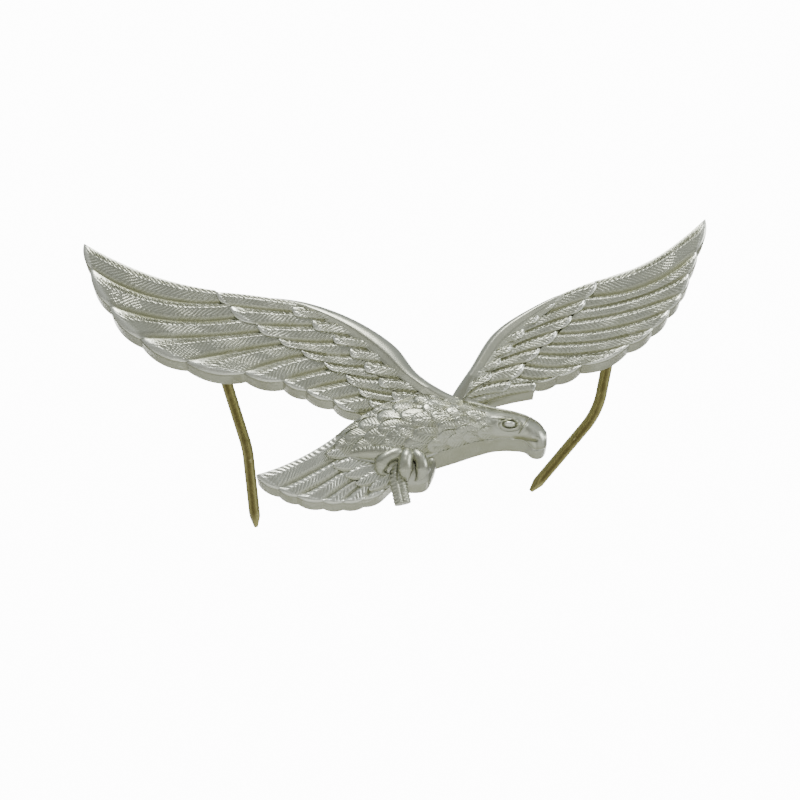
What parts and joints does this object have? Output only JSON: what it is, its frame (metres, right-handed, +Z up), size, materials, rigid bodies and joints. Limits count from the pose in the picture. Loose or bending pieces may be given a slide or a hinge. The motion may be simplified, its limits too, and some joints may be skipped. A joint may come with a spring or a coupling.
{
  "type": "cap badge",
  "caption": "Silver-coloured metal cap badge: a flying eagle struck in relief, with bendable brass wire prongs soldered to its back.",
  "frame": {"origin": "on the plane of the back rim, behind the middle of the eagle's body", "axes": "+Z up as worn, +X along the wingspan towards the beak, -Y out of the struck face and +Y into the cap"},
  "size_m": [0.0671, 0.0195, 0.0325],
  "materials": {
    "struck_metal": "aged satin nickel silver",
    "prong_brass": "oxidised drawn wire",
    "solder_grey": "dull soft solder"
  },
  "bodies": {
    "badge": {"eagle": "struck_metal", "left_prong_pad": "prong_brass", "left_solder": "solder_grey", "left_prong_foot": "prong_brass", "right_prong_pad": "prong_brass", "right_solder": "solder_grey", "right_prong_foot": "prong_brass"},
    "left_leg": {"left_prong": "prong_brass"},
    "right_leg": {"right_prong": "prong_brass"}
  },
  "joints": [
    {"name": "left_prong_bend", "type": "hinge", "parent": "badge", "child": "left_leg", "pos_m": [-0.0239, 0.00015, 0.0123], "axis": [1, 0, 0], "range_deg": [-32, 50]},
    {"name": "right_prong_bend", "type": "hinge", "parent": "badge", "child": "right_leg", "pos_m": [0.0195, 0.00015, 0.0135], "axis": [1, 0, 0], "range_deg": [-30, 50]}
  ]
}
